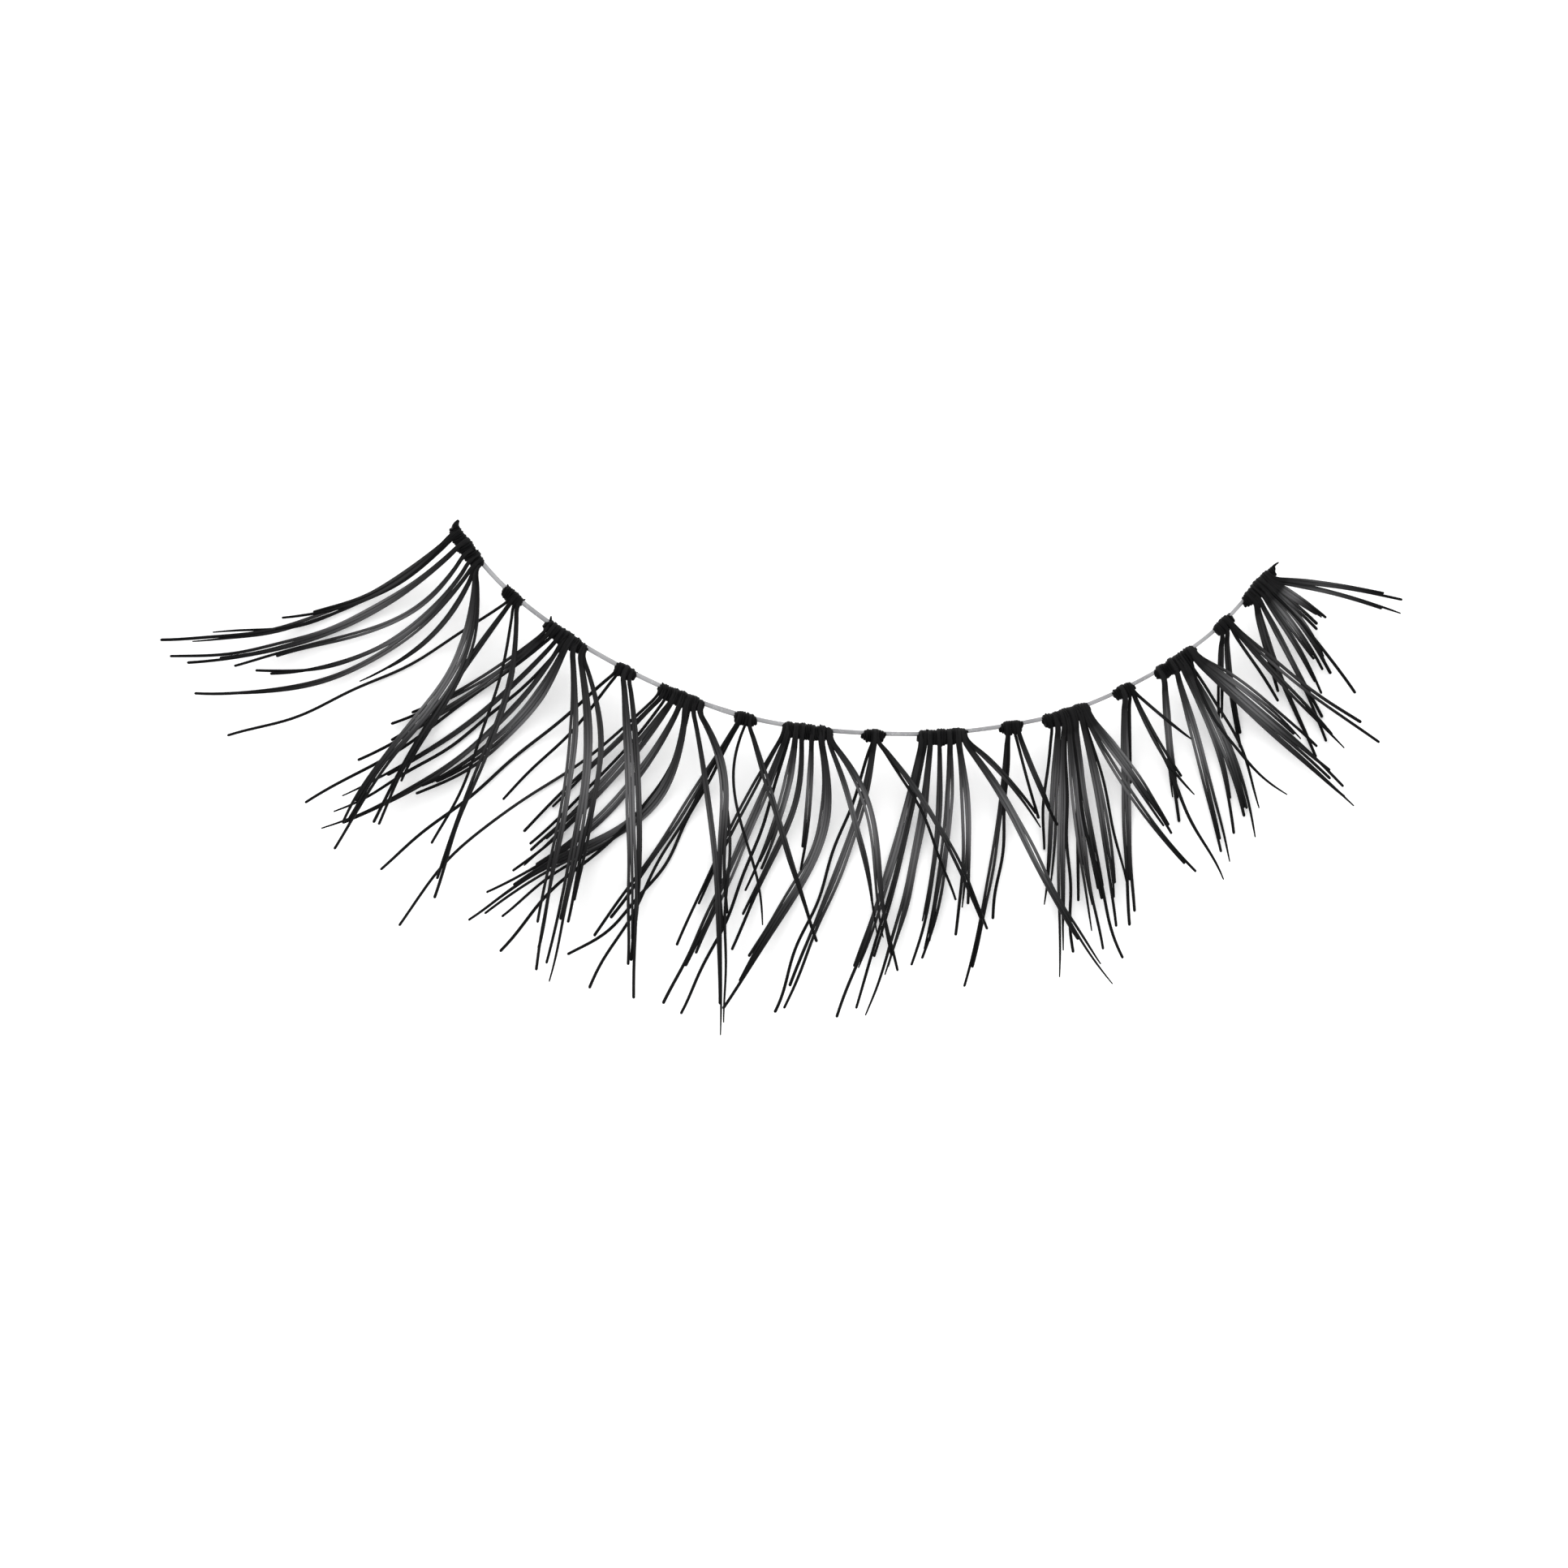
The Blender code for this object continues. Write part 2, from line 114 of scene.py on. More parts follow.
@dataclass(frozen=True)
class CutTip:
    """A short cut end that stands out of a knot, drawn from above.

    along is the place along the knot from -0.5 to 0.5, lean is in degrees from straight
    up, plus toward the inner end, long is a length, hook turns the end to the side and
    stout is its thickness in hairs.
    """

    along: float
    lean: float
    long: float
    hook: float = 0.0
    stout: float = 1.0


@dataclass(frozen=True)
class TuftPlan:
    """A knot's place on the thread and the strands tied into it.

    slim_outer and slim_inner are the knot's height at its two ends, as shares of its
    height in the middle.
    """

    name: str
    across: float
    kind: KnotKind
    strands: tuple[Strand, ...]
    slim_outer: float = 0.80
    slim_inner: float = 0.80
    tips: tuple[CutTip, ...] = ()


BAND_BENDS: tuple[Bend, ...] = (
    Bend(0.000, 0.00), Bend(0.039, 0.20), Bend(0.075, 0.34), Bend(0.140, 0.53),
    Bend(0.210, 0.69), Bend(0.282, 0.82), Bend(0.357, 0.92), Bend(0.433, 0.975),
    Bend(0.512, 1.00), Bend(0.594, 1.00), Bend(0.680, 0.96), Bend(0.747, 0.90),
    Bend(0.816, 0.79), Bend(0.880, 0.65), Bend(0.940, 0.47), Bend(1.000, 0.21),
)

TUFTS: tuple[TuftPlan, ...] = (
    TuftPlan("outer_end_tuft", 0.017, KnotKind.WIDE, (
        Strand(-0.38, -64, 0.63, 0.09, 0.00, 2.0),
        Strand(-0.36, -70, 1.02, 0.10, 0.00, 2.0),
        Strand(-0.30, -69, 0.86, 0.10, 0.00, 1.0),
        Strand(-0.10, -68, 1.02, 0.095, 0.00, 3.0),
        Strand(0.10, -63, 0.85, 0.09, 0.03, 2.4),
        Strand(0.28, -62, 0.80, 0.14, 0.00, 2.4),
        Strand(0.40, -65, 1.01, 0.14, 0.00, 2.4),
        Strand(0.46, -45, 0.54, 0.10, 0.00, 1.6),
        Strand(0.50, -26, 1.03, 0.055, 0.035, 4.4),
        Strand(0.52, -20, 0.90, 0.06, 0.03, 1.6),
    ), 0.62, 0.85, (
        CutTip(-0.45, -14, 0.20 * MM, 0.6, 2.4),
        CutTip(0.12, 30, 0.06 * MM, 0.0, 1.8),
    )),
    TuftPlan("small_tuft_1", 0.073, KnotKind.SMALL, (
        Strand(0.00, -63, 1.03, 0.04, 0.00, 1.0),
        Strand(0.12, -31, 0.86, -0.03, 0.00, 1.8),
        Strand(0.24, -18, 0.84, 0.04, 0.00, 1.0),
        Strand(0.40, -15, 1.00, 0.03, 0.02, 1.6),
    ), 0.85, 0.75, (
        CutTip(-0.36, -12, 0.13 * MM),
        CutTip(0.44, 62, 0.12 * MM),
    )),
    TuftPlan("wide_tuft_1", 0.139, KnotKind.WIDE, (
        Strand(-0.40, -59, 0.60, 0.04, 0.00, 2.0),
        Strand(-0.32, -57, 0.76, 0.03, 0.00, 2.0),
        Strand(-0.24, -55, 0.98, 0.02, 0.00, 1.0),
        Strand(-0.12, -53, 0.88, 0.05, 0.00, 2.0),
        Strand(0.00, -52, 1.00, 0.09, 0.00, 2.0),
        Strand(0.05, -54, 0.94, 0.05, 0.00, 1.0),
        Strand(0.10, -46, 0.70, 0.10, 0.00, 4.4),
        Strand(0.24, -6, 1.06, 0.03, 0.01, 2.6),
        Strand(0.42, -5, 1.08, 0.05, 0.01, 3.6),
        Strand(0.50, -2, 0.88, 0.07, 0.02, 1.8),
    ), 0.80, 0.62, (
        CutTip(-0.42, 6, 0.20 * MM),
        CutTip(-0.10, 20, 0.08 * MM),
        CutTip(0.22, 45, 0.09 * MM),
    )),
    TuftPlan("small_tuft_2", 0.212, KnotKind.SMALL, (
        Strand(-0.35, -50, 1.01, 0.00, 0.00, 1.0),
        Strand(-0.25, -43, 0.57, 0.02, 0.00, 1.0),
        Strand(-0.02, 2, 1.06, 0.01, 0.00, 3.0),
        Strand(0.26, 1, 0.93, 0.03, 0.00, 2.4),
    )),
    TuftPlan("wide_tuft_2", 0.280, KnotKind.WIDE, (
        Strand(-0.44, -48, 1.13, -0.035, 0.025, 1.5),
        Strand(-0.36, -46, 0.64, 0.00, 0.00, 2.0),
        Strand(-0.28, -43, 0.66, 0.03, 0.00, 1.0),
        Strand(-0.14, -43, 0.77, 0.03, 0.00, 4.0),
        Strand(0.04, -45, 0.89, 0.09, 0.00, 3.6),
        Strand(0.16, -45, 1.00, 0.12, 0.05, 4.0),
        Strand(0.18, -41, 0.92, 0.12, 0.04, 1.4),
        Strand(0.24, -38, 1.01, 0.06, 0.03, 1.0),
        Strand(0.30, 5, 1.07, 0.03, 0.00, 2.4),
        Strand(0.42, 7, 0.72, 0.06, 0.03, 3.0),
        Strand(0.46, 5, 1.02, 0.05, 0.02, 1.2),
    ), 0.80, 0.72),
    TuftPlan("small_tuft_3", 0.358, KnotKind.SMALL, (
        Strand(-0.28, -33, 0.85, 0.01, 0.00, 2.0),
        Strand(-0.25, -29, 1.00, 0.00, 0.00, 1.0),
        Strand(-0.20, -36, 0.95, 0.07, -0.02, 1.0),
        Strand(0.05, 4, 0.67, -0.06, -0.04, 1.0),
        Strand(0.20, 17, 0.75, 0.00, 0.00, 2.0),
    )),
    TuftPlan("wide_tuft_3", 0.433, KnotKind.WIDE, (
        Strand(-0.46, -26, 0.78, -0.02, 0.00, 1.6),
        Strand(-0.38, -24, 0.97, 0.01, 0.00, 3.6),
        Strand(-0.34, -21, 0.98, 0.03, 0.00, 1.0),
        Strand(-0.22, -18, 0.54, 0.05, 0.00, 3.0),
        Strand(-0.10, -19, 0.74, 0.06, 0.02, 2.0),
        Strand(0.10, -5, 0.44, 0.02, 0.00, 2.4),
        Strand(0.28, -20, 0.94, 0.105, 0.03, 4.0),
        Strand(0.42, 14, 0.66, 0.035, 0.00, 2.4),
        Strand(0.46, 16, 0.79, 0.06, 0.03, 3.6),
    )),
    TuftPlan("small_tuft_4", 0.513, KnotKind.SMALL, (
        Strand(0.05, -19, 0.93, 0.03, 0.01, 3.0),
        Strand(-0.02, -21, 0.95, 0.01, 0.00, 1.0),
        Strand(0.15, 30, 0.72, 0.045, 0.00, 1.8),
        Strand(0.12, 26, 0.59, 0.05, 0.00, 1.0),
    )),
    TuftPlan("wide_tuft_4", 0.596, KnotKind.WIDE, (
        Strand(-0.42, -18, 0.94, 0.03, 0.00, 3.2),
        Strand(-0.34, -15, 0.90, 0.02, 0.00, 1.6),
        Strand(-0.24, -13, 0.92, 0.04, 0.00, 3.2),
        Strand(-0.06, -7, 0.74, 0.04, 0.00, 2.0),
        Strand(0.14, -7, 0.72, 0.04, 0.00, 3.2),
        Strand(0.32, 0, 0.64, 0.04, 0.00, 3.0),
        Strand(0.42, 31, 0.93, 0.00, 0.015, 3.0),
        Strand(0.46, 42, 0.38, 0.05, 0.00, 1.6),
    )),
    TuftPlan("small_tuft_5", 0.680, KnotKind.SMALL, (
        Strand(-0.20, -10, 0.85, 0.03, 0.00, 2.0),
        Strand(-0.15, -5, 0.62, 0.02, 0.00, 1.0),
        Strand(0.10, 16, 0.30, 0.00, 0.00, 1.0),
        Strand(0.25, 23, 0.34, -0.02, 0.00, 1.6),
    )),
    TuftPlan("wide_tuft_5", 0.746, KnotKind.WIDE, (
        Strand(-0.32, -4, 0.41, -0.02, 0.00, 1.0),
        Strand(-0.20, -4, 0.60, 0.01, 0.00, 3.0),
        Strand(-0.08, -1, 0.84, 0.00, 0.00, 3.0),
        Strand(-0.04, 1, 0.76, 0.00, 0.00, 1.0),
        Strand(0.02, 7, 0.76, -0.01, 0.00, 3.0),
        Strand(0.08, 11, 0.80, -0.03, 0.00, 1.0),
        Strand(0.12, 2, 0.60, 0.01, 0.00, 2.4),
        Strand(0.16, 9, 0.60, -0.02, 0.00, 3.0),
        Strand(0.28, 9, 0.70, 0.03, 0.00, 3.0),
        Strand(0.33, 13, 0.61, 0.02, 0.00, 1.0),
        Strand(0.36, 34, 0.63, -0.03, 0.00, 2.4),
        Strand(0.42, 36, 0.48, 0.01, 0.00, 4.4),
    )),
    TuftPlan("small_tuft_6", 0.817, KnotKind.SMALL, (
        Strand(-0.05, 1, 0.76, 0.00, 0.00, 3.0),
        Strand(0.18, 0, 0.30, 0.00, 0.00, 1.0),
        Strand(0.28, 25, 0.69, 0.00, 0.00, 1.0),
        Strand(0.32, 30, 0.40, -0.03, 0.00, 1.6),
        Strand(0.36, 52, 0.25, -0.02, 0.00, 1.2),
    )),
    TuftPlan("wide_tuft_6", 0.880, KnotKind.WIDE, (
        Strand(-0.36, 5, 0.48, 0.00, 0.00, 3.0),
        Strand(-0.08, 14, 0.66, 0.02, 0.00, 3.0),
        Strand(0.04, 18, 0.58, 0.06, 0.00, 2.4),
        Strand(0.14, 21, 0.62, 0.05, 0.00, 4.4),
        Strand(0.22, 27, 0.54, 0.06, 0.00, 1.0),
        Strand(0.28, 36, 0.55, -0.09, 0.00, 1.0),
        Strand(0.34, 47, 0.72, 0.00, 0.00, 2.0),
        Strand(0.38, 49, 0.65, 0.01, 0.00, 3.4),
        Strand(0.42, 51, 0.50, 0.045, 0.00, 3.4),
    )),
    TuftPlan("small_tuft_7", 0.940, KnotKind.SMALL, (
        Strand(-0.28, -1, 0.30, 0.00, 0.00, 1.6),
        Strand(0.00, 7, 0.40, -0.02, 0.00, 1.6),
        Strand(0.14, 34, 0.30, 0.00, 0.00, 1.0),
        Strand(0.20, 43, 0.56, 0.00, 0.00, 1.6),
        Strand(0.26, 52, 0.63, -0.02, 0.00, 2.0),
    )),
    TuftPlan("inner_end_tuft", 0.984, KnotKind.WIDE, (
        Strand(-0.30, 17, 0.31, -0.01, 0.00, 1.6),
        Strand(-0.26, 21, 0.56, -0.02, 0.00, 2.0),
        Strand(-0.20, 27, 0.53, 0.02, 0.00, 2.0),
        Strand(-0.08, 31, 0.39, 0.03, 0.00, 2.0),
        Strand(0.00, 36, 0.33, 0.03, 0.00, 3.0),
        Strand(0.06, 40, 0.46, 0.05, 0.00, 1.0),
        Strand(0.12, 36, 0.36, 0.06, 0.00, 3.0),
        Strand(0.18, 50, 0.22, 0.00, 0.00, 2.0),
        Strand(0.22, 56, 0.22, 0.02, 0.00, 3.0),
        Strand(0.24, 75, 0.45, 0.04, 0.00, 2.0),
        Strand(0.30, 82, 0.44, 0.02, 0.00, 2.0),
    ), 0.72, 0.40, (
        CutTip(0.44, 26, 0.30 * MM, 0.35),
    )),
)


@dataclass(frozen=True)
class Profile:
    """A value that changes along a hair: shares of its length, and the value at each."""

    at: tuple[float, ...]
    value: tuple[float, ...]

    def along(self, shares: np.ndarray) -> np.ndarray:
        """Gives the value at each share."""
        return np.interp(shares, self.at, self.value)


def smooth_join(t: Value, start: Value, leave: Value, end: Value, enter: Value) -> Value:
    """Joins two values by a smooth curve with given slopes at its ends.

    Args:
        t: Share of the way from the start to the end.
        start: Value at the start.
        leave: Slope there.
        end: Value at the end.
        enter: Slope there.

    Returns:
        The value at t.
    """
    return ((2 * t**3 - 3 * t**2 + 1) * start + (t**3 - 2 * t**2 + t) * leave
            + (3 * t**2 - 2 * t**3) * end + (t**3 - t**2) * enter)


@dataclass(frozen=True)
class StripLayout:
    """The lie of the strip: where the thread runs and how a hair leaves it.

    look_deg is the camera's angle above the floor. A hair dips by dip_deg from the thread
    and is lowest at belly_at. Hairs that cross are stacked by their lean, up to
    stack_full_at from the root.
    """

    look_deg: float = 65.0
    span: float = 27.9 * MM
    sag: float = 7.1 * MM
    thread_wide: float = 0.18 * MM
    dip_deg: float = 33.0
    belly_at: float = 4.6 * MM
    stack_per_deg: float = 0.013 * MM
    stack_least: float = -22.0
    stack_most: float = 40.0
    stack_at_root: float = 0.2
    stack_full_at: float = 2.6 * MM
    checks_along: int = 32

    def band_at(self, across: float) -> tuple[Vector, Vector]:
        """Gives the thread's drawn place and direction.

        Args:
            across: Share of the thread's span, 0 at the outer end.

        Returns:
            The drawn place, x across and y down, and the unit direction there.
        """
        last = len(BAND_BENDS) - 1
        i = max(k for k in range(last) if BAND_BENDS[k].across <= across or k == 0)
        a, b = BAND_BENDS[i], BAND_BENDS[i + 1]
        before, after = BAND_BENDS[max(i - 1, 0)], BAND_BENDS[min(i + 2, last)]
        gap = b.across - a.across
        t = (across - a.across) / gap
        rise_a = (b.down - before.down) / (b.across - before.across) * gap
        rise_b = (after.down - a.down) / (after.across - a.across) * gap
        down = smooth_join(t, a.down, rise_a, b.down, rise_b)
        slope = ((6 * t**2 - 6 * t) * a.down + (3 * t**2 - 4 * t + 1) * rise_a
                 + (6 * t - 6 * t**2) * b.down + (3 * t**2 - 2 * t) * rise_b) / gap
        return (Vector((across * self.span, down * self.sag)),
                Vector((self.span, slope * self.sag)).normalized())

    def seat(self) -> Vector:
        """Gives the place in the frame of the drawing's corner, from the thread's box.

        Returns:
            The frame place of drawn x 0, drawn y 0, at the thread's height.
        """
        low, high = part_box("band_thread")
        look = math.radians(self.look_deg)
        lowest = max(self.band_at(i / self.checks_along)[0].y
                     for i in range(self.checks_along + 1))
        return Vector(((low.x + high.x - self.span) / 2,
                       low.y + self.thread_wide / 2 + lowest / math.sin(look),
                       (low.z + high.z) / 2))

    def laid(self, seat: Vector, drawn: np.ndarray, height: np.ndarray) -> np.ndarray:
        """Lays drawn places into the frame.

        Args:
            seat: Frame place of the drawing's corner.
            drawn: Places as drawn, x across and y down, one row each.
            height: Height of each place against the thread.

        Returns:
            Frame places, one row each.
        """
        look = math.radians(self.look_deg)
        return np.column_stack((seat.x + drawn[:, 0],
                                seat.y - (drawn[:, 1] + height * math.cos(look)) / math.sin(look),
                                seat.z + height))

    def curl(self, gone: np.ndarray) -> np.ndarray:
        """Height of a hair against the thread, at drawn distances from its root."""
        return math.tan(math.radians(self.dip_deg)) * (gone**2 / (2 * self.belly_at) - gone)

    def stacked(self, off_square: float, gone: np.ndarray) -> np.ndarray:
        """Extra height of a hair that crosses others.

        Args:
            off_square: Its lean in degrees against the thread's square direction.
            gone: Drawn distances from its root.

        Returns:
            The height to add at each distance.
        """
        full = min(max(off_square, self.stack_least), self.stack_most) * self.stack_per_deg
        rise = np.minimum(1.0, gone / self.stack_full_at)
        return full * (self.stack_at_root + (1 - self.stack_at_root) * rise)


@dataclass
class TubeMesh:
    """Gathers many tubes into one mesh, with a shade value at every vertex.

    The three dome values shape a rounded end: how far its last ring lies ahead, how slim
    that ring is, and how far the middle of the end stands out, as shares of the half width.
    """

    name: str
    places: list[np.ndarray] = field(default_factory=list)
    shades: list[np.ndarray] = field(default_factory=list)
    faces: list[tuple[int, ...]] = field(default_factory=list)
    count: int = 0
    dome_ahead: float = 0.6
    dome_slim: float = 0.74
    dome_crown: float = 0.45

    def add(self, line: np.ndarray, wide: np.ndarray, thick: np.ndarray, shade: np.ndarray,
            sides: int, up: Vector = UP, rounded: bool = True) -> None:
        """Adds one closed tube.

        Args:
            line: Middle line, one row for each station.
            wide: Half width at each station, square to the line and to up.
            thick: Half thickness at each station.
            shade: Shade value at each station.
            sides: Number of sides.
            up: Direction that the thickness is measured along at the start.
            rounded: Whether the far end closes in a dome.
        """
        if rounded:
            onward = line[-1] - line[-2]
            onward = onward / np.linalg.norm(onward) * wide[-1]
            line = np.vstack((line, line[-1] + self.dome_ahead * onward))
            wide = np.append(wide, self.dome_slim * wide[-1])
            thick = np.append(thick, self.dome_slim * thick[-1])
            shade = np.append(shade, shade[-1])
        ahead = np.gradient(line, axis=0)
        ahead /= np.linalg.norm(ahead, axis=1)[:, None]
        aside = np.empty_like(ahead)
        carried = np.cross(ahead[0], np.array(up))
        for i, forward in enumerate(ahead):
            carried = carried - forward * np.dot(carried, forward)
            carried = carried / np.linalg.norm(carried)
            aside[i] = carried
        over = np.cross(aside, ahead)
        turn = np.arange(sides) * 2 * math.pi / sides
        rings = (line[:, None, :]
                 + aside[:, None, :] * (wide[:, None] * np.cos(turn))[:, :, None]
                 + over[:, None, :] * (thick[:, None] * np.sin(turn))[:, :, None])
        stations = len(line)
        start = self.count
        self.places.append(rings.reshape(-1, 3))
        self.shades.append(np.repeat(shade, sides))
        for i in range(stations - 1):
            for j in range(sides):
                k = (j + 1) % sides
                a, b = start + i * sides, start + (i + 1) * sides
                self.faces.append((a + j, b + j, b + k, a + k))
        end = start + stations * sides
        crown = ahead[-1] * (self.dome_crown * wide[-1] if rounded else 0.0)
        self.places.append(np.array([line[0], line[-1] + crown]))
        self.shades.append(np.array([shade[0], shade[-1]]))
        for j in range(sides):
            k = (j + 1) % sides
            self.faces.append((start + j, start + k, end))
            self.faces.append((end - sides + k, end - sides + j, end + 1))
        self.count = end + 2

    def build(self) -> bpy.types.Object:
        """Makes the object with its smooth faces and its shade values.

        Returns:
            The new object, linked to the scene.
        """
        mesh = bpy.data.meshes.new(self.name)
        mesh.from_pydata(np.concatenate(self.places).tolist(), [], self.faces)
        shade = mesh.attributes.new("shade", "FLOAT", "POINT")
        shade.data.foreach_set("value", np.concatenate(self.shades).astype(np.float32))
        mesh.shade_smooth()
        mesh.update()
        made = bpy.data.objects.new(self.name, mesh)
        bpy.context.scene.collection.objects.link(made)
        return made


class NodeSheet:
    """A material's node tree with short calls to add and join nodes."""

    def __init__(self, name: str) -> None:
        """Starts a material that holds one Principled shader.

        Args:
            name: The material's name.
        """
        self.material = bpy.data.materials.new(name)
        self.material.use_nodes = True
        self.tree = self.material.node_tree
        self.shader = self.tree.nodes["Principled BSDF"]

    def add(self, kind: str, **settings: object) -> bpy.types.Node:
        """Adds a node.

        Args:
            kind: Blender's node type.
            settings: Attributes to set on the node.

        Returns:
            The new node.
        """
        node = self.tree.nodes.new(kind)
        for key, value in settings.items():
            setattr(node, key, value)
        return node

    def join(self, out: bpy.types.NodeSocket, into: bpy.types.NodeSocket) -> None:
        """Links an output to an input."""
        self.tree.links.new(out, into)

    def noise(self, scale: float, detail: float = 2.0) -> bpy.types.Node:
        """Adds a noise texture on the object's own coordinates.

        Args:
            scale: Noise scale for each metre.
            detail: Noise detail.

        Returns:
            The noise node.
        """
        coords = self.add("ShaderNodeTexCoord")
        noise = self.add("ShaderNodeTexNoise")
        noise.inputs["Scale"].default_value = scale
        noise.inputs["Detail"].default_value = detail
        self.join(coords.outputs["Object"], noise.inputs["Vector"])
        return noise

    def ramp(self, source: bpy.types.NodeSocket,
             stops: Sequence[tuple[float, Colour]]) -> bpy.types.NodeSocket:
        """Turns a value into a colour.

        Args:
            source: The value.
            stops: Places and colours along the ramp.

        Returns:
            The colour output.
        """
        ramp = self.add("ShaderNodeValToRGB")
        self.join(source, ramp.inputs["Fac"])
        marks = ramp.color_ramp.elements
        while len(marks) < len(stops):
            marks.new(0.5)
        for mark, (place, colour) in zip(marks, stops):
            mark.position = place
            mark.color = colour
        return ramp.outputs["Color"]

    def spread(self, source: bpy.types.NodeSocket, low: float,
               high: float) -> bpy.types.NodeSocket:
        """Maps a value from 0..1 to low..high.

        Args:
            source: The value.
            low: Result at 0.
            high: Result at 1.

        Returns:
            The mapped output.
        """
        span = self.add("ShaderNodeMapRange")
        span.inputs["To Min"].default_value = low
        span.inputs["To Max"].default_value = high
        self.join(source, span.inputs["Value"])
        return span.outputs["Result"]

    def bump(self, source: bpy.types.NodeSocket, strength: float, depth: float) -> None:
        """Raises the surface by a value.

        Args:
            source: The value.
            strength: Share of the effect.
            depth: Height of the relief.
        """
        bump = self.add("ShaderNodeBump")
        bump.inputs["Strength"].default_value = strength
        bump.inputs["Distance"].default_value = depth
        self.join(source, bump.inputs["Height"])
        self.join(bump.outputs["Normal"], self.shader.inputs["Normal"])


@dataclass(frozen=True)
class HairFinish:
    """Black lash fibre, darkest at the knot and the tip, with a grey painted sheen on thick
    locks.
    """

    name: str = "lash_hair_black"
    dark: Colour = (0.0020, 0.0020, 0.0022, 1.0)
    # The two stops below are painted sheen: grey painted highlight on the black fibre.
    soft: Colour = (0.036, 0.0356, 0.0366, 1.0)
    open: Colour = (0.125, 0.124, 0.127, 1.0)
    rough_low: float = 0.34
    rough_high: float = 0.56
    gloss: float = 0.045
    grain_scale: float = 5200.0
    grain_detail: float = 3.0
    grain_strength: float = 0.25
    grain_depth: float = 0.004 * MM

    def material(self) -> bpy.types.Material:
        """Builds the hair's material.

        Returns:
            The material.
        """
        sheet = NodeSheet(self.name)
        # The shade value sets a painted sheen: the darkest stop is the fibre's own black, and the
        # two lighter stops are grey painted highlight.
        shade = sheet.add("ShaderNodeAttribute", attribute_name="shade")
        colour = sheet.ramp(shade.outputs["Fac"],
                            ((0.0, self.dark), (0.5, self.soft), (1.0, self.open)))
        sheet.join(colour, sheet.shader.inputs["Base Color"])
        grain = sheet.noise(self.grain_scale, self.grain_detail)
        rough = sheet.spread(grain.outputs["Fac"], self.rough_low, self.rough_high)
        sheet.join(rough, sheet.shader.inputs["Roughness"])
        sheet.bump(grain.outputs["Fac"], self.grain_strength, self.grain_depth)
        sheet.shader.inputs["Specular IOR Level"].default_value = self.gloss
        return sheet.material


@dataclass(frozen=True)
class KnotFinish:
    """Wound hair set in a thin film of clear glue."""

    name: str = "lash_knot_glued"
    dark: Colour = (0.0020, 0.0020, 0.0022, 1.0)
    worn: Colour = (0.0065, 0.0064, 0.0068, 1.0)
    dark_below: float = 0.35
    worn_above: float = 0.75
    rough_low: float = 0.22
    rough_high: float = 0.5
    gloss: float = 0.04
    patch_scale: float = 2600.0
    grain_scale: float = 9000.0
    grain_detail: float = 4.0
    grain_strength: float = 0.4
    grain_depth: float = 0.010 * MM

    def material(self) -> bpy.types.Material:
        """Builds the knot's material.

        Returns:
            The material.
        """
        sheet = NodeSheet(self.name)
        patch = sheet.noise(self.patch_scale)
        colour = sheet.ramp(patch.outputs["Fac"],
                            ((self.dark_below, self.dark), (self.worn_above, self.worn)))
        sheet.join(colour, sheet.shader.inputs["Base Color"])
        rough = sheet.spread(patch.outputs["Fac"], self.rough_low, self.rough_high)
        sheet.join(rough, sheet.shader.inputs["Roughness"])
        grain = sheet.noise(self.grain_scale, self.grain_detail)
        sheet.bump(grain.outputs["Fac"], self.grain_strength, self.grain_depth)
        sheet.shader.inputs["Specular IOR Level"].default_value = self.gloss
        return sheet.material


@dataclass(frozen=True)
class ThreadFinish:
    """Clear plastic thread, streaked with grey."""

    name: str = "thread_clear"
    pale: Colour = (0.44, 0.44, 0.45, 1.0)
    deep: Colour = (0.27, 0.27, 0.28, 1.0)
    deep_below: float = 0.3
    pale_above: float = 0.7
    rough_low: float = 0.16
    rough_high: float = 0.34
    streak_scale: float = 900.0
    grain_scale: float = 6000.0
    grain_strength: float = 0.2
    grain_depth: float = 0.003 * MM
    clearness: float = 0.18
    refraction: float = 1.53

    def material(self) -> bpy.types.Material:
        """Builds the thread's material.

        Returns:
            The material.
        """
        sheet = NodeSheet(self.name)
        streak = sheet.noise(self.streak_scale)
        colour = sheet.ramp(streak.outputs["Fac"],
                            ((self.deep_below, self.deep), (self.pale_above, self.pale)))
        sheet.join(colour, sheet.shader.inputs["Base Color"])
        grain = sheet.noise(self.grain_scale)
        rough = sheet.spread(grain.outputs["Fac"], self.rough_low, self.rough_high)
        sheet.join(rough, sheet.shader.inputs["Roughness"])
        sheet.bump(grain.outputs["Fac"], self.grain_strength, self.grain_depth)
        sheet.shader.inputs["Transmission Weight"].default_value = self.clearness
        sheet.shader.inputs["IOR"].default_value = self.refraction
        return sheet.material


@dataclass(frozen=True)
class FloorFinish:
    """Plain white board, lit a little from below so that it shows hardly a shadow."""

    name: str = "floor_white"
    low: Colour = (0.93, 0.93, 0.93, 1.0)
    high: Colour = (0.96, 0.96, 0.96, 1.0)
    low_below: float = 0.3
    high_above: float = 0.7
    patch_scale: float = 40.0
    patch_detail: float = 1.0
    rough: float = 0.7
    gloss: float = 0.2
    glow: float = 0.25

    def material(self) -> bpy.types.Material:
        """Builds the floor's material.

        Returns:
            The material.
        """
        sheet = NodeSheet(self.name)
        patch = sheet.noise(self.patch_scale, self.patch_detail)
        colour = sheet.ramp(patch.outputs["Fac"],
                            ((self.low_below, self.low), (self.high_above, self.high)))
        sheet.join(colour, sheet.shader.inputs["Base Color"])
        sheet.shader.inputs["Roughness"].default_value = self.rough
        sheet.shader.inputs["Specular IOR Level"].default_value = self.gloss
        sheet.shader.inputs["Emission Color"].default_value = self.high
        sheet.shader.inputs["Emission Strength"].default_value = self.glow
        return sheet.material


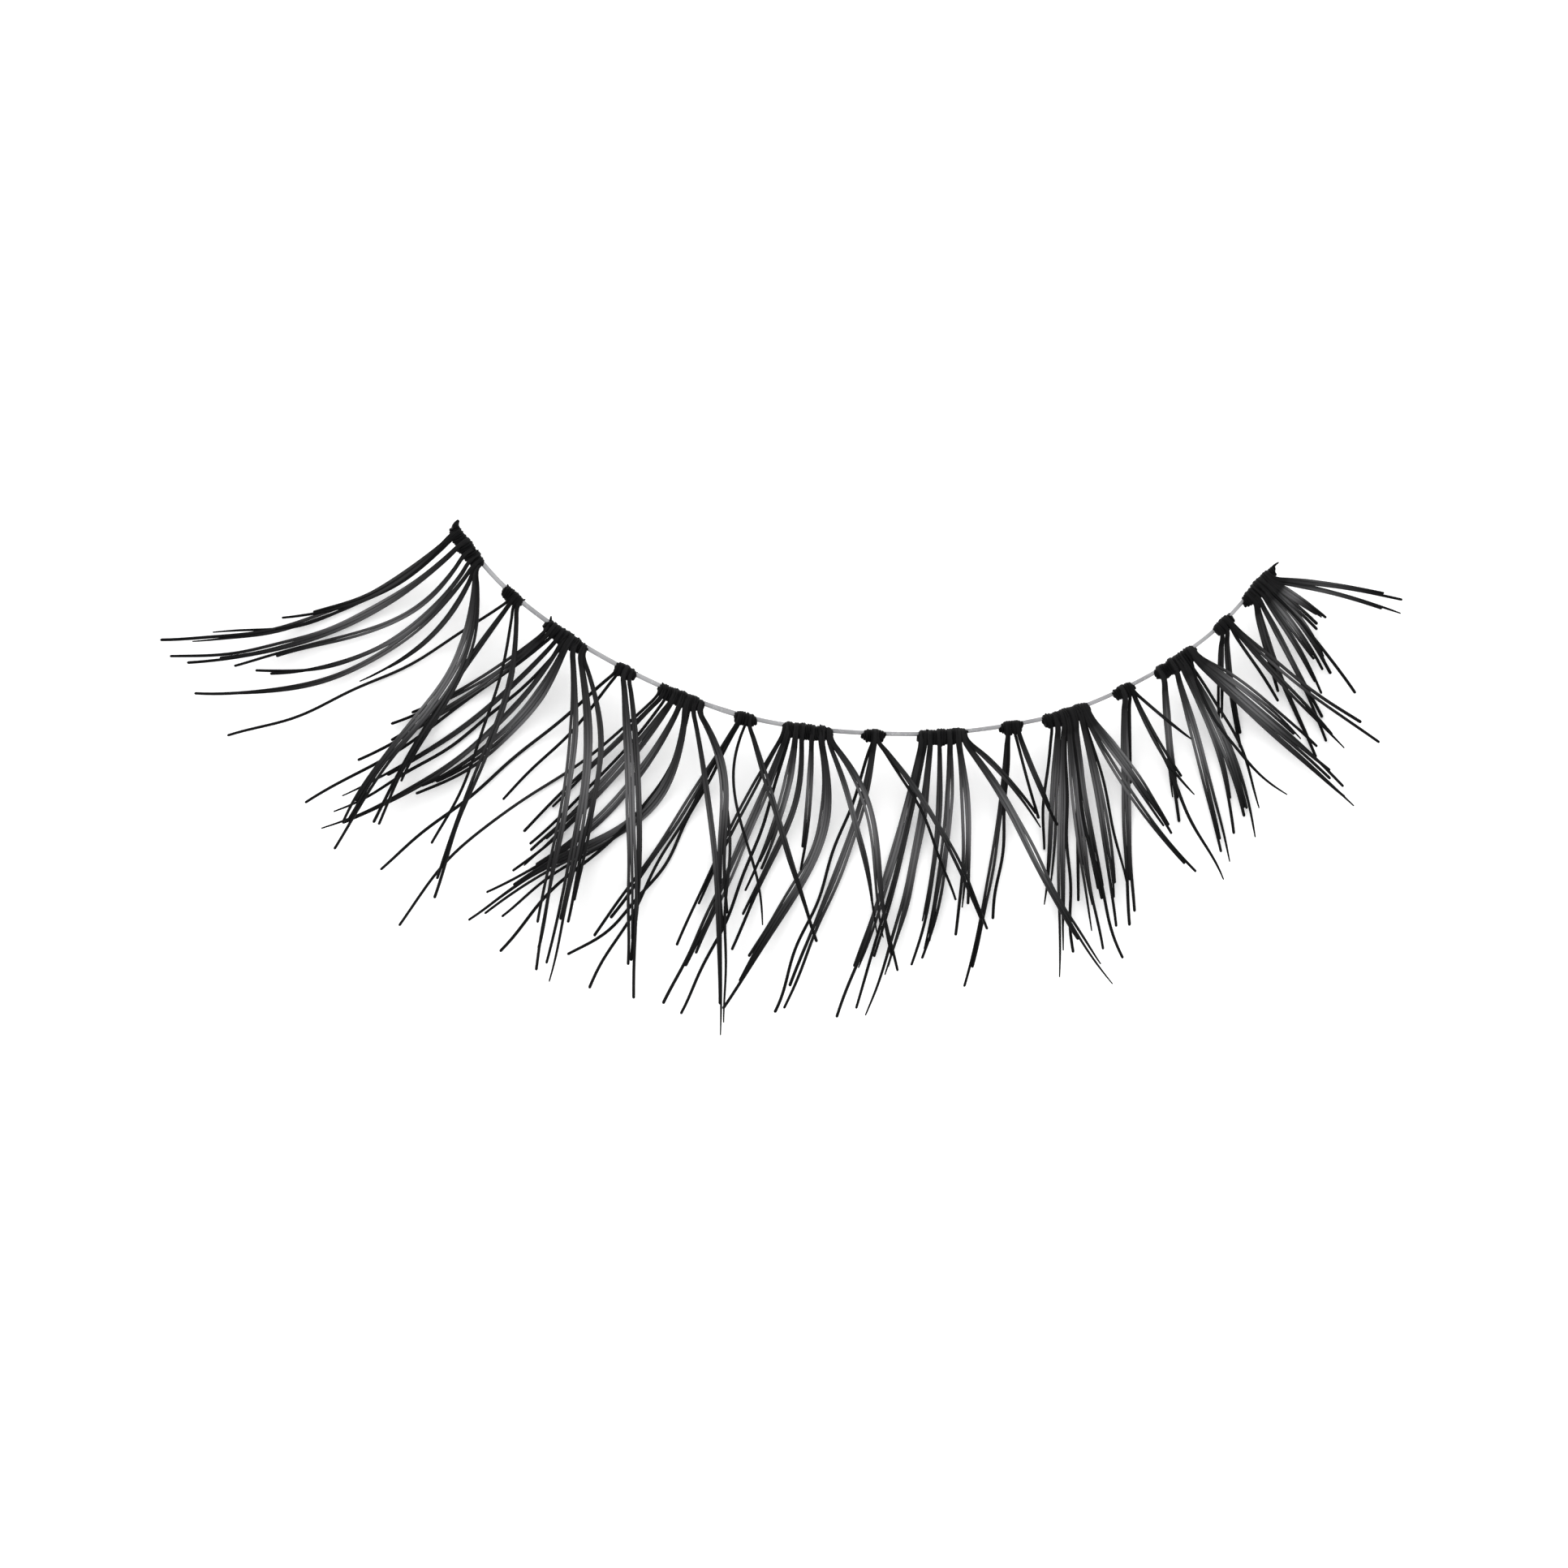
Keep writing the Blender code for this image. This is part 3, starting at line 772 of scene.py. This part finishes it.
@dataclass
class BandThread:
    """The clear thread, a little flat, that every knot is tied to.

    It lies flatter and wider round flat_at, and gets slimmer toward the inner end.
    """

    layout: StripLayout
    seat: Vector
    finish: ThreadFinish = field(default_factory=ThreadFinish)
    half_wide: float = 0.088 * MM
    half_thick: float = 0.074 * MM
    flat_swell: float = 0.25
    flat_at: float = 0.335
    flat_run: float = 0.018
    inner_slim: float = 0.24
    stations: int = 220
    sides: int = 14

    def build(self) -> bpy.types.Object:
        """Sweeps the thread along its arc.

        Returns:
            The thread.
        """
        shares = np.linspace(0.0, 1.0, self.stations)
        drawn = np.array([self.layout.band_at(s)[0] for s in shares])
        line = self.layout.laid(self.seat, drawn, np.zeros(self.stations))
        swell = 1.0 + self.flat_swell * np.exp(-((shares - self.flat_at) / self.flat_run) ** 2)
        slim = 1.0 - self.inner_slim * shares
        tube = TubeMesh("band_thread_clear")
        tube.add(line, self.half_wide * slim * swell, self.half_thick * slim / swell, shares,
                 self.sides, rounded=False)
        made = tube.build()
        made.data.materials.append(self.finish.material())
        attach(made, "root")
        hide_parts("band_thread")
        return made


@dataclass
class Knot:
    """Hair wound round the thread and set with glue.

    The end values round the knot off at both ends. The hair is wound over turned_share of
    the length, and slant and lump_depth keep its turns from lying quite even. A cut end
    starts inside the knot by tip_buried of its length, and tip_slim is its thickness.
    """

    layout: StripLayout
    seat: Vector
    plan: TuftPlan
    draw: random.Random
    wide_long: float = 1.7 * MM
    small_long: float = 0.8 * MM
    wide_tall: float = 0.54 * MM
    small_tall: float = 0.42 * MM
    flatness: float = 0.72
    wide_hang: float = 0.145 * MM
    small_hang: float = 0.095 * MM
    turn_gap: float = 0.084 * MM
    hair_half: float = 0.056 * MM
    core_share: float = 0.84
    core_stations: int = 26
    core_sides: int = 20
    turn_sides: int = 6
    steps_a_turn: int = 18
    tip_stations: int = 7
    wide_lobes: int = 3
    lobe_depth: float = 0.06
    lobe_shift: float = 0.04
    end_slope: float = 1.6
    end_round: int = 6
    end_least: float = 0.12
    end_lift: float = 0.4
    turned_share: float = 0.94
    fewest_turns: int = 4
    slant: float = 0.035
    lumps: float = 4.3
    lump_depth: float = 0.40
    turn_stand: float = 0.15
    turn_shade: float = 0.05
    tip_from_deg: float = 25.0
    tip_buried: float = 0.4
    tip_slim: Profile = Profile((-0.4, 0.3, 1.0), (1.2, 1.0, 0.5))
    wide_stubs: int = 4
    small_stubs: int = 2
    stub_along: float = 0.44
    stub_lean: float = 40.0
    stub_long: tuple[float, float] = (0.08, 0.20)

    @property
    def long(self) -> float:
        """Length along the thread."""
        return self.wide_long if self.plan.kind is KnotKind.WIDE else self.small_long

    @property
    def tall(self) -> float:
        """Height as drawn, across the thread."""
        return self.wide_tall if self.plan.kind is KnotKind.WIDE else self.small_tall

    @property
    def hang(self) -> float:
        """How far the knot's middle hangs below the thread."""
        return self.wide_hang if self.plan.kind is KnotKind.WIDE else self.small_hang

    def thread_at(self, along: float) -> tuple[np.ndarray, np.ndarray]:
        """Gives the thread's middle line inside the knot.

        Args:
            along: Share of the knot's length from -0.5 to 0.5.

        Returns:
            The drawn place and the drawn square direction.
        """
        direction = self.layout.band_at(self.plan.across)[1]
        share = self.plan.across + along * self.long * direction.x / self.layout.span
        place, ahead = self.layout.band_at(min(max(share, 0.0), 1.0))
        past = share - min(max(share, 0.0), 1.0)
        place = place + ahead * (past * self.layout.span / ahead.x)
        return np.array(place), np.array((-ahead.y, ahead.x))

    def swell(self, along: float) -> float:
        """Gives the knot's height, with its lobes and its rounded ends.

        Args:
            along: Share of the knot's length from -0.5 to 0.5.

        Returns:
            Share of the full height there.
        """
        slim = self.plan.slim_inner if along > 0 else self.plan.slim_outer
        lobes = self.wide_lobes if self.plan.kind is KnotKind.WIDE else 1
        body = 1.0 - (1.0 - slim) * (2 * abs(along)) ** self.end_slope
        body *= 1.0 + self.lobe_depth * math.cos(2 * math.pi * lobes * (along + self.lobe_shift))
        return body * max(1.0 - (2 * abs(along)) ** self.end_round, self.end_least) ** 0.5

    def around(self, along: float, turned: float, out: float) -> tuple[np.ndarray, float]:
        """Gives a place on the knot's skin.

        Args:
            along: Share of the knot's length.
            turned: Angle round the knot, 0 at the upper edge, a quarter turn on the face.
            out: How far the place stands off the skin.

        Returns:
            The drawn place and the height against the thread.
        """
        middle, square = self.thread_at(along)
        half = self.swell(along) * self.tall / 2 * self.core_share + out
        hang = self.hang * (1.0 - self.end_lift * (2 * abs(along)) ** 3)
        return (middle + square * (hang - half * math.cos(turned)),
                half * self.flatness * math.sin(turned))

    def add_core(self, tube: TubeMesh) -> None:
        """Adds the solid middle that the turns lie on.

        Args:
            tube: The mesh to add to.
        """
        shares = np.linspace(-0.5, 0.5, self.core_stations)
        places = [self.around(s, 0.0, 0.0)[0] + self.around(s, math.pi, 0.0)[0] for s in shares]
        line = self.layout.laid(self.seat, np.array(places) / 2, np.zeros(self.core_stations))
        half = np.array([self.swell(s) for s in shares]) * self.tall / 2 * self.core_share
        tube.add(line, half, half * self.flatness, np.zeros(self.core_stations),
                 self.core_sides, rounded=False)

    def add_turns(self, tube: TubeMesh) -> None:
        """Adds the hair wound round the middle, turn beside turn.

        Args:
            tube: The mesh to add to.
        """
        turns = max(self.fewest_turns, round(self.long * self.turned_share / self.turn_gap))
        steps = turns * self.steps_a_turn
        tilt = self.draw.uniform(0.0, 2 * math.pi)
        drawn, heights = [], []
        for share in np.linspace(0.0, 1.0, steps + 1):
            angle = tilt + 2 * math.pi * turns * share
            along = (-self.turned_share / 2 + self.turned_share * share
                     + self.slant * math.sin(angle + tilt))
            wander = math.sin(2 * math.pi * self.lumps * share + tilt)
            lump = self.lump_depth * self.hair_half * wander
            place, height = self.around(min(max(along, -0.5), 0.5), angle,
                                        self.hair_half * self.turn_stand + lump)
            drawn.append(place)
            heights.append(height)
        line = self.layout.laid(self.seat, np.array(drawn), np.array(heights))
        direction = self.layout.band_at(self.plan.across)[1]
        thin = np.full(steps + 1, self.hair_half)
        tube.add(line, thin, thin, np.full(steps + 1, self.turn_shade), self.turn_sides,
                 up=Vector((direction.x, -direction.y, 0.0)))

    def add_tip(self, tube: TubeMesh, tip: CutTip) -> None:
        """Adds one cut end that stands out of the knot.

        Args:
            tube: The mesh to add to.
            tip: The cut end.
        """
        base, height = self.around(tip.along, math.radians(self.tip_from_deg), 0.0)
        lean = math.radians(tip.lean)
        onward = np.array((math.sin(lean), -math.cos(lean)))
        aside = np.array((math.cos(lean), math.sin(lean)))
        t = np.linspace(-self.tip_buried, 1.0, self.tip_stations)
        bend = tip.hook * tip.long * np.maximum(t, 0.0) ** 2
        drawn = base + onward * (tip.long * t)[:, None] + aside * bend[:, None]
        line = self.layout.laid(self.seat, drawn, np.full(self.tip_stations, height))
        thin = tip.stout * self.hair_half * self.tip_slim.along(t)
        tube.add(line, thin, thin, np.full(self.tip_stations, self.turn_shade), self.turn_sides)

    def add_stubs(self, tube: TubeMesh) -> None:
        """Adds the hairs' cut ends, those of the plan and a few more.

        Args:
            tube: The mesh to add to.
        """
        for tip in self.plan.tips:
            self.add_tip(tube, tip)
        direction = self.layout.band_at(self.plan.across)[1]
        square_lean = math.degrees(math.atan2(direction.y, direction.x))
        for _ in range(self.wide_stubs if self.plan.kind is KnotKind.WIDE else self.small_stubs):
            along = self.draw.uniform(-self.stub_along, self.stub_along)
            lean = square_lean + self.draw.uniform(-self.stub_lean, self.stub_lean)
            long = self.tall * self.draw.uniform(*self.stub_long)
            self.add_tip(tube, CutTip(along, lean, long))

    def build(self, finish: bpy.types.Material) -> bpy.types.Object:
        """Builds the knot.

        Args:
            finish: The material.

        Returns:
            The knot.
        """
        tube = TubeMesh(self.plan.name + "_knot")
        self.add_core(tube)
        self.add_turns(tube)
        self.add_stubs(tube)
        made = tube.build()
        made.data.materials.append(finish)
        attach(made, "root")
        return made


@dataclass
class HairTuft:
    """All the hairs of one knot, each looped over the knot's face and then free.

    A pair of numbers is the range of a seeded draw. A strand of lock_girth or more is a
    lock, and its hairs wave less. fan is how far a strand's hairs spread along it. A hair
    ends fine_end thick at fine_odds, and cut_end thick otherwise. The sheen values and
    belly_at say where along a lock its painted sheen shows, a grey painted highlight.
    """

    layout: StripLayout
    seat: Vector
    plan: TuftPlan
    knot: Knot
    draw: random.Random
    full_reach: float = 10.2 * MM
    wide_root_drop: float = 0.30 * MM
    small_root_drop: float = 0.21 * MM
    hair_half: float = 0.057 * MM
    hair_gap: float = 0.096 * MM
    hairs_a_girth: float = 0.97
    lock_girth: float = 1.5
    root_pinch: float = 0.42
    loop_degrees: tuple[float, ...] = (-60.0, -30.0, 0.0, 30.0, 60.0, 88.0)
    join_at: float = 0.50 * MM
    join_steps: int = 5
    loop_stray: float = 0.012
    loop_most: float = 0.48
    loop_stand: tuple[float, float] = (0.10, 0.50)
    lock_drift: float = 1.1
    single_drift: float = 0.6
    drift_power: int = 4
    lock_wave: tuple[float, float] = (0.14, 0.34)
    single_wave: tuple[float, float] = (0.40, 0.90)
    wave_pace: tuple[float, float] = (1.6, 3.4)
    wave_growth: float = 1.6
    short_reach: tuple[float, float] = (0.80, 0.96)
    layer_stray: tuple[float, float] = (-0.3, 0.4)
    layer_rise: float = 4.0
    size_stray: tuple[float, float] = (0.92, 1.08)
    slim_at: tuple[float, ...] = (0.0, 0.12, 0.7, 0.92, 1.0)
    slim_before_tip: float = 0.98
    fine_odds: float = 0.2
    fine_end: float = 0.45
    cut_end: tuple[float, float] = (0.75, 1.0)
    # Painted sheen: girth and place along the hair set how much grey painted highlight a hair
    # gets.
    sheen_girth: float = 0.8
    sheen_girth_run: float = 2.0
    least_sheen: float = 0.02
    sheen_stray: tuple[float, float] = (0.7, 1.15)
    belly_at: float = 0.38
    sheen_run: float = 0.26
    stations: int = 40
    sides: int = 7
    clear_of_floor: float = 0.002 * MM

    @property
    def fan(self) -> Profile:
        """Spread of a strand's hairs along it, closed at the root and at the tip."""
        return Profile((0.0, 0.06, 0.25, 0.6, 0.85, 1.0),
                       (self.root_pinch, 0.50, 1.0, 1.0, 0.82, 0.62))

    @property
    def root_drop(self) -> float:
        """How far below the thread a hair is drawn to start."""
        return self.wide_root_drop if self.plan.kind is KnotKind.WIDE else self.small_root_drop

    def hairs_in(self, girth: float) -> int:
        """Number of single hairs that make up a strand of this girth."""
        return max(1, round(girth * self.hairs_a_girth))

    def loop(self, strand: Strand, place: float) -> np.ndarray:
        """Gives the part of a hair that loops over the knot, from behind to the face.

        Args:
            strand: The strand that it belongs to.
            place: Place across the strand, in hairs from its middle.

        Returns:
            Rows of drawn x, drawn y and height.
        """
        along = strand.root + place * self.hair_gap * self.root_pinch / self.knot.long
        along += self.draw.uniform(-self.loop_stray, self.loop_stray)
        along = min(max(along, -self.loop_most), self.loop_most)
        off = self.hair_half * self.draw.uniform(*self.loop_stand)
        rows = []
        for degrees in self.loop_degrees:
            drawn, height = self.knot.around(along, math.radians(degrees), off)
            rows.append((drawn[0], drawn[1], height))
        return np.array(rows)

    def joined(self, loop: np.ndarray, free: np.ndarray) -> np.ndarray:
        """Joins the loop to the free hair with a smooth bend.

        Args:
            loop: Rows of the loop.
            free: Rows of the free hair.

        Returns:
            The rows of both, with the bend between.
        """
        start, end = loop[-1], free[0]
        far = np.linalg.norm(end - start)
        leave = (loop[-1] - loop[-2]) / np.linalg.norm(loop[-1] - loop[-2]) * far
        enter = (free[1] - free[0]) / np.linalg.norm(free[1] - free[0]) * far
        t = np.linspace(0.0, 1.0, self.join_steps + 2)[1:-1, None]
        return np.vstack((loop, smooth_join(t, start, leave, end, enter), free))

    def sideways(self, strand: Strand, place: float, t: np.ndarray) -> np.ndarray:
        """How far a hair lies to the side of its strand's straight line.

        Args:
            strand: The strand.
            place: Place across the strand, in hairs from its middle.
            t: Shares of the strand's length.

        Returns:
            The side offset at each share.
        """
        is_lock = strand.girth >= self.lock_girth
        reach = strand.reach * self.full_reach
        side = reach * (4 * strand.bow * t * (1 - t) + strand.sway * np.sin(2 * math.pi * t))
        drift = self.draw.uniform(-1.0, 1.0) * (self.lock_drift if is_lock else self.single_drift)
        wave = self.draw.uniform(*(self.lock_wave if is_lock else self.single_wave))
        phase = self.draw.uniform(0.0, 2 * math.pi)
        pace = self.draw.uniform(*self.wave_pace) * strand.reach
        swing = np.sin(2 * math.pi * pace * t + phase) - math.sin(phase)
        ripple = min(1.0, self.wave_growth * strand.reach) * wave * swing * t**0.5
        return side + self.hair_gap * (place * self.fan.along(t) + drift * t**self.drift_power
                                       + ripple)

    def add_hair(self, tube: TubeMesh, strand: Strand, place: float, reach_share: float,
                 layer: float) -> None:
        """Adds one hair of a strand.

        Args:
            tube: The mesh to add to.
            strand: The strand that it belongs to.
            place: Place across the strand, in hairs from its middle.
            reach_share: Length as a share of the strand's.
            layer: Height above the strand's middle.
        """
        middle, direction = self.layout.band_at(self.plan.across)
        root = np.array(middle + direction * (strand.root * self.knot.long)
                        + Vector((-direction.y, direction.x)) * self.root_drop)
        square_lean = math.degrees(math.atan2(-direction.y, direction.x))
        lean = math.radians(strand.lean)
        ahead = np.array((math.sin(lean), math.cos(lean)))
        aside = np.array((math.cos(lean), -math.sin(lean)))
        reach = strand.reach * self.full_reach
        t = np.linspace(self.join_at / reach, reach_share, self.stations)
        gone = t * reach
        height = self.layout.curl(gone) + self.layout.stacked(strand.lean - square_lean, gone)
        drawn = (root + ahead * gone[:, None]
                 + aside * self.sideways(strand, place, t)[:, None])
        free = np.column_stack((drawn, height + layer * np.minimum(1.0, t * self.layer_rise)))
        rows = self.joined(self.loop(strand, place), free)
        line = self.layout.laid(self.seat, rows[:, :2], rows[:, 2])
        lead = len(rows) - self.stations
        whole = np.concatenate((np.zeros(lead), t / reach_share))
        is_fine = self.draw.random() < self.fine_odds
        end = self.fine_end if is_fine else self.draw.uniform(*self.cut_end)
        slim = Profile(self.slim_at, (1.0, 1.0, self.slim_before_tip, (1 + end) / 2, end))
        half = self.hair_half * self.draw.uniform(*self.size_stray) * slim.along(whole)
        line[:, 2] = np.maximum(line[:, 2], half + self.clear_of_floor)
        # Painted sheen: thick locks get a grey painted highlight round belly_at, and single hairs
        # stay nearly black.
        lock = min(1.0, max(0.0, (strand.girth - self.sheen_girth) / self.sheen_girth_run))
        sheen_mask = np.exp(-((whole * reach_share - self.belly_at) / self.sheen_run) ** 2)
        grey = self.least_sheen + (1.0 - self.least_sheen) * lock * sheen_mask
        shade = np.clip(grey * self.draw.uniform(*self.sheen_stray), 0.0, 1.0)
        tube.add(line, half, half, shade, self.sides,
                 up=Vector((direction.x, -direction.y, 0.0)))

    def build(self, finish: bpy.types.Material) -> bpy.types.Object:
        """Builds the tuft's hairs, which stand for the frame's tuft with its knot.

        Args:
            finish: The material.

        Returns:
            The hairs.
        """
        tube = TubeMesh(self.plan.name + "_hairs")
        for strand in self.plan.strands:
            count = self.hairs_in(strand.girth)
            longest = self.draw.randrange(count)
            for i in range(count):
                place = i - (count - 1) / 2
                reach_share = 1.0 if i == longest else self.draw.uniform(*self.short_reach)
                layer = self.draw.uniform(*self.layer_stray) * self.hair_half * (count > 1)
                self.add_hair(tube, strand, place, reach_share, layer)
        made = tube.build()
        made.data.materials.append(finish)
        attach(made, "root")
        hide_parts(self.plan.name)
        return made


@dataclass
class Studio:
    """The white floor, the soft lights and the camera."""

    layout: StripLayout
    floor_side: float = 1.6
    lens_mm: float = 200.0
    sensor_mm: float = 36.0
    clip_start: float = 0.01
    frame_share: float = 0.80
    sky: float = 1.11
    key_watts: float = 0.24
    key_side: float = 0.30
    key_at: tuple[float, float, float] = (-0.14, 0.16, 0.34)
    fill_watts: float = 0.08
    fill_side: float = 0.40
    fill_at: tuple[float, float, float] = (0.30, -0.20, 0.30)

    def add_floor(self) -> None:
        """Lays the floor under the strip."""
        half = self.floor_side / 2
        signs = ((-1, -1), (1, -1), (1, 1), (-1, 1))
        corners = [(x * half, y * half, 0.0) for x, y in signs]
        mesh = bpy.data.meshes.new("floor")
        mesh.from_pydata(corners, [], [(0, 1, 2, 3)])
        mesh.materials.append(FloorFinish().material())
        floor = bpy.data.objects.new("floor", mesh)
        bpy.context.scene.collection.objects.link(floor)
        floor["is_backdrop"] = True

    def add_light(self, name: str, at: Iterable[float], watts: float, side: float) -> None:
        """Adds a soft square light that faces the strip.

        Args:
            name: The light's name.
            at: Where it is.
            watts: Its power.
            side: Its side.
        """
        light = bpy.data.lights.new(name, "AREA")
        light.energy = watts
        light.size = side
        lamp = bpy.data.objects.new(name, light)
        lamp.location = Vector(at)
        lamp.rotation_euler = (-Vector(at)).to_track_quat("-Z", "Y").to_euler()
        bpy.context.scene.collection.objects.link(lamp)

    def add_sky(self) -> None:
        """Sets the even white light all round."""
        world = bpy.data.worlds.new("soft_white")
        world.use_nodes = True
        ground = world.node_tree.nodes["Background"]
        ground.inputs["Color"].default_value = (1.0, 1.0, 1.0, 1.0)
        ground.inputs["Strength"].default_value = self.sky
        bpy.context.scene.world = world
        bpy.context.scene.view_settings.view_transform = "Standard"

    def add_camera(self) -> None:
        """Places the camera at the photo's angle, aimed at the middle of the strip."""
        low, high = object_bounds()
        middle = (low + high) / 2
        look = math.radians(self.layout.look_deg)
        back = Vector((0.0, -math.cos(look), math.sin(look)))
        away = (high.x - low.x) / self.frame_share * self.lens_mm / self.sensor_mm
        lens = bpy.data.cameras.new("camera")
        lens.lens = self.lens_mm
        lens.sensor_width = self.sensor_mm
        lens.clip_start = self.clip_start
        camera = bpy.data.objects.new("camera", lens)
        camera.location = middle + back * away
        camera.rotation_euler = (-back).to_track_quat("-Z", "Y").to_euler()
        bpy.context.scene.collection.objects.link(camera)
        bpy.context.scene.camera = camera

    def build(self) -> None:
        """Sets up everything round the strip."""
        self.add_floor()
        self.add_light("key_light", self.key_at, self.key_watts, self.key_side)
        self.add_light("fill_light", self.fill_at, self.fill_watts, self.fill_side)
        self.add_sky()
        self.add_camera()


def report_piece(piece: bpy.types.Object) -> None:
    """Logs a piece's name and its number of faces."""
    log.info("%s: %d faces", piece.name, len(piece.data.polygons))


def main() -> None:
    """Builds the thread, each knot with its hairs, and the studio."""
    logging.basicConfig(level=logging.INFO, format="%(message)s")
    layout = StripLayout()
    seat = layout.seat()
    report_piece(BandThread(layout, seat).build())
    hair = HairFinish().material()
    glued = KnotFinish().material()
    for number, plan in enumerate(TUFTS):
        draw = random.Random(FIRST_SEED + number)
        knot = Knot(layout, seat, plan, draw)
        report_piece(knot.build(glued))
        report_piece(HairTuft(layout, seat, plan, knot, draw).build(hair))
    Studio(layout).build()
    bpy.context.view_layer.update()


if __name__ == "__main__":
    main()
